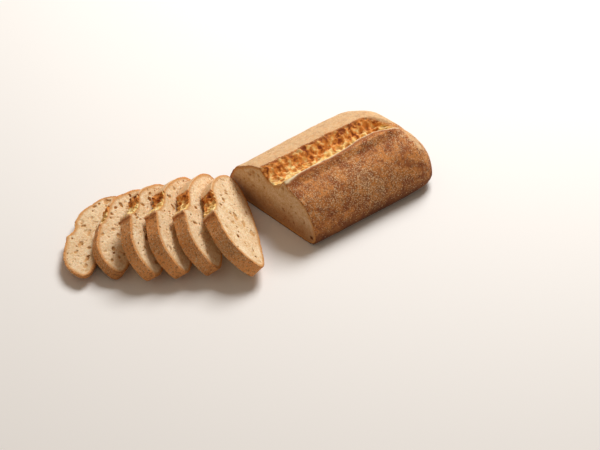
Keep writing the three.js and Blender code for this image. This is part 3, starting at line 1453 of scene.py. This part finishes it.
class BreadMaterial:
    """The material of every piece of bread: one baked thing, whose marks say what shows where."""

    def __init__(
        self, crust: CrustFinish, torn: TornFinish, crumb: CrumbFinish, surface: BreadSurface
    ) -> None:
        """Builds the material from its three finishes and their shared surface.

        Args:
            crust: The crust's finish.
            torn: The torn score's finish.
            crumb: The cut crumb's finish.
            surface: What all three share.
        """
        self.crust, self.torn, self.crumb, self.surface = crust, torn, crumb, surface
        self.material = bpy.data.materials.new("baked wheat bread")
        self.material.use_nodes = True
        tree = self.material.node_tree
        tree.nodes.clear()
        self.add = partial(add_node, tree)
        self.place = self.add("ShaderNodeTexCoord", output="Object")
        marks = (
            "depth", "inset", "tone", "pale", "skin", "torn", "edge", "burn", "band", "flour",
            "bake", "nearness",
        )
        self.marks = {
            mark: self.add("ShaderNodeAttribute", output="Fac", attribute_name=mark)
            for mark in marks
        }
        self.build()

    def sized(self, size_mm: float, detail: float, roughness: float) -> dict[str, object]:
        """Inputs of a noise whose features are about a given size."""
        scale = 1 / (size_mm * MM)
        return {"Vector": self.place, "Scale": scale, "Detail": detail, "Roughness": roughness}

    def crust_colour(self) -> bpy.types.NodeSocket:
        """Brown crust, darker at the base from browning and painted shade, bare by the lip, floured
        elsewhere.

        Returns:
            The colour.
        """
        add, c, marks = self.add, self.crust, self.marks
        mottle = add(NOISE, self.sized(c.mottle_mm, 4.0, 0.6))
        mottle = add(SPAN, (mottle, 0.34, 0.66), **SMOOTH)
        colour = add(MIX, {"Factor": mottle, "A": c.dark, "B": c.light}, **COLOURS)
        colour = add(MIX, {"Factor": marks["pale"], "A": colour, "B": c.golden}, **COLOURS)
        # Darker towards the base: partly browning, partly painted shade.
        colour = add(MIX, {"Factor": marks["bake"], "A": colour, "B": c.baked}, **COLOURS)
        band = add(MATHS, (marks["band"], c.band_share), **TIMES)
        colour = add(MIX, {"Factor": band, "A": colour, "B": c.band}, **COLOURS)
        freckle = add(NOISE, self.sized(c.freckle_mm, 2.0, 0.6))
        freckle = add(SPAN, (freckle, 0.5, 0.66, 0.0, 0.5), **SMOOTH)
        colour = add(MIX, {"Factor": freckle, "A": colour, "B": c.baked}, **COLOURS)
        return add(MIX, {"Factor": self.flour_cover(), "A": colour, "B": c.flour}, **COLOURS)

    def flour_cover(self) -> bpy.types.NodeSocket:
        """Flour in patches of fine dots, and in streaks where it lies thick.

        Returns:
            How much of the crust the flour covers, from 0 to 1.
        """
        add, c, flour = self.add, self.crust, self.marks["flour"]
        dots = add(CELLS, {"Vector": self.place, "Scale": 1 / (c.dot_mm * MM)}, feature="F1")
        dots = add(SPAN, (dots, 0.15, 0.5, 1.1, 0.0), **SMOOTH)
        patch = add(NOISE, self.sized(c.patch_mm, 3.0, 0.6))
        patch = add(SPAN, (patch, 0.3, 0.66, 0.35, 1.3), **SMOOTH)
        streaks = add(NOISE, self.sized(c.streak_mm, 3.0, 0.7))
        streaks = add(SPAN, (streaks, 0.3, 0.62, 0.5, 1.0), **SMOOTH)
        thick = add(SPAN, (flour, 0.8, 1.0), **SMOOTH)
        covered = add(MATHS, (thick, streaks), **TIMES)
        dotted = add(MATHS, (dots, patch), **TIMES)
        cover = add(MATHS, (dotted, covered), operation="MAXIMUM")
        share = add(SPAN, (flour, 0.0, 0.9, 0.0, 0.95), **SMOOTH)
        return add(MATHS, (cover, share), **TIMES)

    def torn_colour(self) -> bpy.types.NodeSocket:
        """Golden torn crumb, yellow by the near lip and orange-brown towards the far one.

        Returns:
            The colour.
        """
        add, t = self.add, self.torn
        lumps = {"Vector": self.place, "Scale": 1 / (t.lump_mm * MM)}
        lumps = add(CELLS, lumps, feature="SMOOTH_F1")
        pale = add(NOISE, self.sized(t.lump_mm, 3.0, 0.6))
        pale = add(SPAN, (pale, 0.38, 0.62), **SMOOTH)
        colour = add(MIX, {"Factor": pale, "A": t.gold, "B": t.yellow}, **COLOURS)
        lean = add(SPAN, (self.marks["nearness"], 0.1, 0.9, 0.17, -0.17), **SMOOTH)
        brown = add(NOISE, self.sized(t.brown_mm, 3.0, 0.55))
        brown = add(MATHS, (brown, lean), **PLUS)
        orange = add(SPAN, (brown, 0.5, 0.68), **SMOOTH)
        colour = add(MIX, {"Factor": orange, "A": colour, "B": t.orange}, **COLOURS)
        high = add(SPAN, (brown, 0.66, 0.78), **SMOOTH)
        between = add(SPAN, (lumps, 0.1, 0.6), **SMOOTH)
        dark = add(MATHS, (high, between), **TIMES)
        return add(MIX, {"Factor": dark, "A": colour, "B": t.dark}, **COLOURS)

    def crumb_colour(self) -> bpy.types.NodeSocket:
        """Cream crumb, soft tan patches, golden rim, and painted shade in pores and on the loaf's cut
        face.

        Returns:
            The colour.
        """
        add, c, marks = self.add, self.crumb, self.marks
        cloud = add(NOISE, self.sized(c.cloud_mm, 3.0, 0.6))
        cloud = add(SPAN, (cloud, 0.35, 0.7), **SMOOTH)
        cloud = add(MATHS, (cloud, c.cloud_share), **TIMES)
        fine = add(NOISE, self.sized(c.cell_mm, 2.0, 0.6))
        fine = add(SPAN, (fine, 0.35, 0.65), **SMOOTH)
        fine = add(MATHS, (fine, c.cell_share), **TIMES)
        shade = add(MATHS, (cloud, fine), **PLUS)
        colour = add(MIX, {"Factor": shade, "A": c.shade, "B": c.cream}, **COLOURS)
        patch = add(NOISE, self.sized(c.patch_mm, 4.0, 0.65))
        patch = add(SPAN, (patch, 0.54, 0.68, 0.0, 0.6), **SMOOTH)
        colour = add(MIX, {"Factor": patch, "A": colour, "B": c.tan}, **COLOURS)
        # Painted shade: pores turn tan as they go in from the cut face.
        inside = add(SPAN, (marks["inset"], 0.2, 1.2, 0.0, 0.85), **SMOOTH)
        colour = add(MIX, {"Factor": inside, "A": colour, "B": c.tan}, **COLOURS)
        # Painted shade on the loaf's cut face.
        painted_shade_mix = {"Factor": marks["tone"], "A": colour, "B": c.brown}
        colour = add(MIX, painted_shade_mix, blend_type="MULTIPLY", **COLOURS)
        rim = add(SPAN, (marks["depth"], 1.2, 4.8, 0.9, 0.0), **SMOOTH)
        return add(MIX, {"Factor": rim, "A": colour, "B": c.rim}, **COLOURS)

    def build(self) -> None:
        """Joins the three finishes by the mesh's marks."""
        add, t, marks, surface = self.add, self.torn, self.marks, self.surface
        baked = {"Factor": marks["torn"], "A": self.crust_colour(), "B": self.torn_colour()}
        colour = add(MIX, baked, **COLOURS)
        # Painted shade in the ear's crease, and the dark far lip.
        burn = add(MATHS, (marks["burn"], t.crease_shade_and_dark_lip_share), **TIMES)
        colour = add(MIX, {"Factor": burn, "A": colour, "B": t.dark}, **COLOURS)
        edge = add(MATHS, (marks["edge"], t.edge_share), **TIMES)
        colour = add(MIX, {"Factor": edge, "A": colour, "B": t.cream}, **COLOURS)
        colour = add(MIX, {"Factor": marks["skin"], "A": self.crumb_colour(), "B": colour}, **COLOURS)
        fine = add(NOISE, self.sized(surface.fine_mm, 2.0, 0.6))
        coarse = add(NOISE, self.sized(surface.coarse_mm, 3.0, 0.6))
        heights = add(MATHS, (fine, coarse), **PLUS)
        bump = {"Height": heights, "Strength": surface.bump, "Distance": surface.bump_mm * MM}
        shader = add("ShaderNodeBsdfPrincipled", {
            "Base Color": colour,
            "Roughness": surface.roughness,
            "Normal": add("ShaderNodeBump", bump),
            "Specular IOR Level": surface.specular,
            "Subsurface Weight": surface.subsurface,
            "Subsurface Radius": surface.subsurface_radius,
            "Subsurface Scale": surface.subsurface_mm * MM,
        })
        add("ShaderNodeOutputMaterial", {"Surface": shader}, is_active_output=True)


@dataclass(frozen=True)
class MattFinish:
    """A plain matt finish, such as dry flour or paper: one colour, with hardly any gloss."""

    name: str
    colour: str
    roughness: float
    specular: float

    def material(self) -> bpy.types.Material:
        """Makes the finish's material.

        Returns:
            The material.
        """
        material = bpy.data.materials.new(self.name)
        material.use_nodes = True
        shader = material.node_tree.nodes["Principled BSDF"]
        shader.inputs["Base Color"].default_value = linear(self.colour)
        shader.inputs["Roughness"].default_value = self.roughness
        shader.inputs["Specular IOR Level"].default_value = self.specular
        return material


@dataclass(frozen=True)
class FlourGrains:
    """Coarse flour stuck to the crust, as off-white grains scattered by the flour mark.

    The grains are drawn coarser than real flour, so that they show.
    """

    per_cm2: float = 46.0
    smallest_mm: float = 0.22
    largest_mm: float = 0.5
    lowest_mm: float = 1.6
    shape: tuple[float, float, float] = (1.0, 0.8, 0.6)
    seed: int = 5
    finish: MattFinish = MattFinish("coarse wheat flour", "#e6c9a0", 0.95, 0.15)

    def group(self) -> bpy.types.GeometryNodeTree:
        """Makes the node group that scatters grains over a mesh.

        Returns:
            The node group.
        """
        tree = bpy.data.node_groups.new("flour grains", "GeometryNodeTree")
        sockets = tree.interface
        sockets.new_socket("Geometry", in_out="INPUT", socket_type="NodeSocketGeometry")
        for name in ("Density", "Smallest", "Largest", "Lowest"):
            sockets.new_socket(name, in_out="INPUT", socket_type="NodeSocketFloat")
        sockets.new_socket("Seed", in_out="INPUT", socket_type="NodeSocketInt")
        sockets.new_socket("Geometry", in_out="OUTPUT", socket_type="NodeSocketGeometry")
        add = partial(add_node, tree)
        given = add("NodeGroupInput").node.outputs
        flour = add("GeometryNodeInputNamedAttribute", {"Name": "flour"}, data_type="FLOAT")
        place = add("GeometryNodeInputPosition")
        height = add("ShaderNodeSeparateXYZ", (place,), output="Z")
        clear = add(MATHS, (height, given["Lowest"]), operation="GREATER_THAN")
        density = add(MATHS, (flour, given["Density"]), **TIMES)
        density = add(MATHS, (density, clear), **TIMES)
        spread = {"Mesh": given["Geometry"], "Density": density, "Seed": given["Seed"]}
        points = add("GeometryNodeDistributePointsOnFaces", spread)
        ball = add("GeometryNodeMeshIcoSphere", {"Radius": 1.0, "Subdivisions": 1})
        grain = add("GeometryNodeTransform", {"Geometry": ball, "Scale": self.shape})
        limits = {"Min": given["Smallest"], "Max": given["Largest"], "Seed": given["Seed"]}
        size = add("FunctionNodeRandomValue", limits, data_type="FLOAT")
        turn = points.node.outputs["Rotation"]
        copies = {"Points": points, "Instance": grain, "Rotation": turn, "Scale": size}
        placed = add("GeometryNodeInstanceOnPoints", copies)
        real = add("GeometryNodeRealizeInstances", {"Geometry": placed})
        dressed = {"Geometry": real, "Material": self.finish.material()}
        finished = add("GeometryNodeSetMaterial", dressed)
        add("NodeGroupOutput", {"Geometry": finished})
        return tree

    def scatter(
        self, piece: bpy.types.Object, tree: bpy.types.GeometryNodeTree
    ) -> bpy.types.Object:
        """Scatters grains over one piece of bread.

        Args:
            piece: The piece, with its flour mark.
            tree: The node group.

        Returns:
            The grains as one plain object.
        """
        carrier = bpy.data.objects.new("carrier", piece.data)
        bpy.context.scene.collection.objects.link(carrier)
        modifier = carrier.modifiers.new("flour grains", "NODES")
        modifier.node_group = tree
        values = {
            "Density": self.per_cm2 * CM2_IN_M2,
            "Smallest": self.smallest_mm * MM,
            "Largest": self.largest_mm * MM,
            "Lowest": self.lowest_mm * MM,
            "Seed": self.seed,
        }
        for socket in tree.interface.items_tree:
            if socket.in_out == "INPUT" and socket.name in values:
                modifier[socket.identifier] = values[socket.name]
        state = bpy.context.evaluated_depsgraph_get()
        mesh = bpy.data.meshes.new_from_object(carrier.evaluated_get(state))
        bpy.data.objects.remove(carrier)
        grains = bpy.data.objects.new(f"{piece.name}_flour", mesh)
        bpy.context.scene.collection.objects.link(grains)
        LOG.info("%s: %d faces", grains.name, len(mesh.polygons))
        return grains


# --- The pieces ---------------------------------------------------------------------------------


def sliced_piece(
    node: str, step: float, seed: int, hollows: tuple[Hollow, ...], score_width: float
) -> bpy.types.Object:
    """Makes a slice or the heel, whose origin is on its upper cut face.

    Args:
        node: The node that it stands for.
        step: The spacing of its grid.
        seed: Seed of its noise and pores.
        hollows: The large open pores on its upper face.
        score_width: How far apart the score's lips are.

    Returns:
        The piece.
    """
    bearings = slice_bearings(node)
    return BreadPiece(
        name=f"ciabatta_{node}",
        node=node,
        bearings=bearings,
        first=-thickness(bearings, node),
        last=0.0,
        cut=Cut.BOTH,
        step=step,
        seed=seed,
        hollows=hollows,
        score_width=score_width,
    ).build()


@dataclass
class Loaf:
    """The uncut part of the bread: its cut face at the start, and its rounded end."""

    SIDEWAYS = -0.7

    length: float = 159.0
    cut_bias: float = 10.0
    end_bias: float = 10.0
    half_width: float = 56.0
    score_stop: float = 143.0
    tip_length: float = 2.0
    # Painted shade on the crumb of the cut face.
    tone: float = 0.5
    step: float = 0.88
    seed: int = 11
    hollows: tuple[Hollow, ...] = (
        Hollow(-31, 38, 2.6, 1.8, 1.2),
        Hollow(-20, 44, 1.8, 2.4, 1.4),
        Hollow(-39, 27, 2.2, 1.6, 1.1),
        Hollow(-12, 33, 1.6, 2.2, 1.1),
        Hollow(-26, 26, 2.8, 1.5, 0.9),
    )

    def bearings(self) -> Bearings:
        """Finds the middle of the loaf's cut face from its solid.

        Returns:
            Bearings with their origin on the cut face, below the middle of the loaf's width.
        """
        faces = flat_faces(solid_triangles("loaf"))
        ends = [face for face in faces if face[1][0] < self.SIDEWAYS]
        _, normal, middle = ends[0]
        low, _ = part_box("loaf")
        core_y = np.array(low)[1] / MM + self.half_width
        x = middle[0] - (core_y - middle[1]) * normal[1] / normal[0]
        origin = np.array([x, core_y, 0.0])
        axes = np.array([1.0, 0, 0]), np.array([0, -1.0, 0]), np.array([0, 0, 1.0])
        return Bearings(origin, *axes, self.cut_bias, self.end_bias, self.length)

    def build(self) -> bpy.types.Object:
        """Makes the loaf.

        Returns:
            The loaf's object.
        """
        return BreadPiece(
            name="ciabatta_loaf",
            node="loaf",
            bearings=self.bearings(),
            first=0.0,
            last=self.length,
            cut=Cut.START,
            step=self.step,
            seed=self.seed,
            hollows=self.hollows,
            score_stop=self.score_stop,
            ear=1.0,
            tone=self.tone,
            browned_and_shaded=1.0,
            paler=0.0,
            tip_length=self.tip_length,
        ).build()


@dataclass
class Slices:
    """The five slices that fell away from the loaf."""

    step: float = 0.56
    hollows: tuple[tuple[Hollow, ...], ...] = (
        (
            Hollow(-14.5, 39, 3.4, 2.4, 1.9),
            Hollow(2, 27.7, 5.4, 2.8, 2.0),
            Hollow(6.8, 18.9, 4.4, 2.2, 1.6),
            Hollow(15, 9.6, 4.8, 2.4, 1.7),
            Hollow(-39, 32, 2.8, 1.8, 1.4),
        ),
        (Hollow(-22.4, 39, 2.2, 1.4, 1.0), Hollow(35.6, 32, 2.6, 1.4, 1.0)),
        (Hollow(-15.6, 38.5, 2.4, 1.5, 1.6), Hollow(26.7, 25.5, 1.8, 1.2, 1.0)),
        (Hollow(22, 28, 4.6, 1.9, 3.2), Hollow(-9.5, 42, 2.0, 1.3, 1.0)),
        (
            Hollow(-20.7, 31.5, 2.2, 2.6, 2.8),
            Hollow(-14.4, 34.5, 1.7, 1.7, 2.2),
            Hollow(-5.3, 36, 1.6, 1.4, 1.8),
            Hollow(0.3, 34.6, 1.4, 1.6, 1.6),
            Hollow(31.1, 19.5, 2.3, 1.9, 2.6),
            Hollow(34.8, 17.2, 1.5, 1.5, 2.0),
            Hollow(36.3, 10.7, 1.7, 1.4, 1.8),
            Hollow(44.3, 16.5, 2.4, 1.7, 1.4),
            Hollow(21.6, 34.5, 2.6, 1.6, 1.2),
            Hollow(29.3, 8, 2.6, 1.5, 1.0),
        ),
    )
    score_widths: tuple[float, ...] = (32.0, 32.0, 32.0, 30.0, 24.0)
    first_seed: int = 31

    def build(self) -> list[bpy.types.Object]:
        """Makes every slice.

        Returns:
            The slices' objects, counted from the loaf.
        """
        sliced = enumerate(zip(self.hollows, self.score_widths), start=1)
        return [
            sliced_piece(f"slice_{n}", self.step, self.first_seed + n, hollows, width)
            for n, (hollows, width) in sliced
        ]


@dataclass
class Heel:
    """The last piece: its cut face on top and the loaf's rounded end under it."""

    step: float = 0.56
    seed: int = 47
    score_width: float = 21.0
    hollows: tuple[Hollow, ...] = (
        Hollow(15.1, 22.7, 3.3, 2.5, 2.2),
        Hollow(26.2, 22.9, 2.6, 1.9, 1.6),
        Hollow(-0.5, 21.4, 3.6, 2.8, 1.2),
        Hollow(-34.6, 27, 1.8, 1.5, 1.3),
        Hollow(-44.6, 17, 3.4, 2.8, 1.2),
        Hollow(42.4, 8.5, 2.8, 2.4, 1.3),
        Hollow(-18.6, 24.4, 2.8, 2.0, 1.1),
        Hollow(-7.6, 27.6, 2.0, 1.6, 1.0),
        Hollow(34.4, 11, 1.8, 1.6, 1.2),
        Hollow(-26.6, 14, 2.2, 1.8, 1.0),
    )

    def build(self) -> bpy.types.Object:
        """Makes the heel."""
        return sliced_piece("heel", self.step, self.seed, self.hollows, self.score_width)


# --- The studio ---------------------------------------------------------------------------------


@dataclass
class Studio:
    """A plain pale floor, soft light and the camera."""

    aim: tuple[float, float, float] = (0.0334, -0.0462, 0.0)
    azimuth: float = -36.0
    elevation: float = 44.4
    distance: float = 1.5
    lens: float = 94.2
    sensor: float = 36.0
    floor_size: float = 6.0
    paper: MattFinish = MattFinish("matt white paper sweep", "#f4f2ef", 0.9, 0.1)
    world_colour: str = "#ffe9d2"
    world_strength: float = 0.27
    key_power: float = 27.0
    key_size: float = 0.7
    key_turn: float = -58.0
    key_height: float = 52.0
    key_distance: float = 1.6

    def direction(self, azimuth: float, elevation: float) -> Vector:
        """Unit vector from the aim towards a viewer at an azimuth and elevation."""
        a, e = math.radians(azimuth), math.radians(elevation)
        return Vector((math.sin(a) * math.cos(e), -math.cos(a) * math.cos(e), math.sin(e)))

    def camera(self) -> None:
        """Makes the camera."""
        data = bpy.data.cameras.new("camera")
        data.lens, data.sensor_width = self.lens, self.sensor
        camera = bpy.data.objects.new("camera", data)
        back = self.direction(self.azimuth, self.elevation)
        camera.location = Vector(self.aim) + back * self.distance
        camera.rotation_euler = (-back).to_track_quat("-Z", "Y").to_euler()
        bpy.context.scene.collection.objects.link(camera)
        bpy.context.scene.camera = camera

    def floor(self) -> None:
        """Makes the floor."""
        half = self.floor_size / 2
        mesh = bpy.data.meshes.new("floor")
        corners = [(-half, -half, 0), (half, -half, 0), (half, half, 0), (-half, half, 0)]
        mesh.from_pydata(corners, [], [(0, 1, 2, 3)])
        mesh.materials.append(self.paper.material())
        floor = bpy.data.objects.new("floor", mesh)
        bpy.context.scene.collection.objects.link(floor)

    def light(self) -> None:
        """Makes the soft key light and the even light of the room."""
        world = bpy.data.worlds.new("studio")
        world.use_nodes = True
        background = world.node_tree.nodes["Background"]
        background.inputs["Color"].default_value = linear(self.world_colour)
        background.inputs["Strength"].default_value = self.world_strength
        bpy.context.scene.world = world
        data = bpy.data.lights.new("key", "AREA")
        data.energy, data.size = self.key_power, self.key_size
        key = bpy.data.objects.new("key", data)
        towards = self.direction(self.key_turn + 180, self.key_height)
        key.location = Vector(self.aim) + towards * self.key_distance
        key.rotation_euler = (-towards).to_track_quat("-Z", "Y").to_euler()
        bpy.context.scene.collection.objects.link(key)
        bpy.context.scene.view_settings.view_transform = "Standard"

    def build(self) -> None:
        """Sets the studio up."""
        self.camera()
        self.floor()
        self.light()


@dataclass(frozen=True)
class Dresser:
    """Gives the finished pieces their materials, their flour and their place in the frame."""

    bread: bpy.types.Material
    flour: FlourGrains
    scatter: bpy.types.GeometryNodeTree

    def dress(self, piece: bpy.types.Object, node: str) -> None:
        """Dresses one piece of bread and scatters its flour.

        Args:
            piece: The piece.
            node: The node that it stands for.
        """
        piece.data.materials.append(self.bread)
        grains = self.flour.scatter(piece, self.scatter)
        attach(piece, "root")
        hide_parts(node)
        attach(grains, "root")
        LOG.info("dressed %s", piece.name)


def main() -> None:
    """Builds the studio and every piece of the bread."""
    logging.basicConfig(level=logging.INFO, format="%(name)s: %(message)s")
    Studio().build()
    bread = BreadMaterial(CrustFinish(), TornFinish(), CrumbFinish(), BreadSurface()).material
    flour = FlourGrains()
    dresser = Dresser(bread, flour, flour.group())
    dresser.dress(Loaf().build(), "loaf")
    for number, piece in enumerate(Slices().build(), start=1):
        dresser.dress(piece, f"slice_{number}")
    dresser.dress(Heel().build(), "heel")


if __name__ == "__main__":
    main()
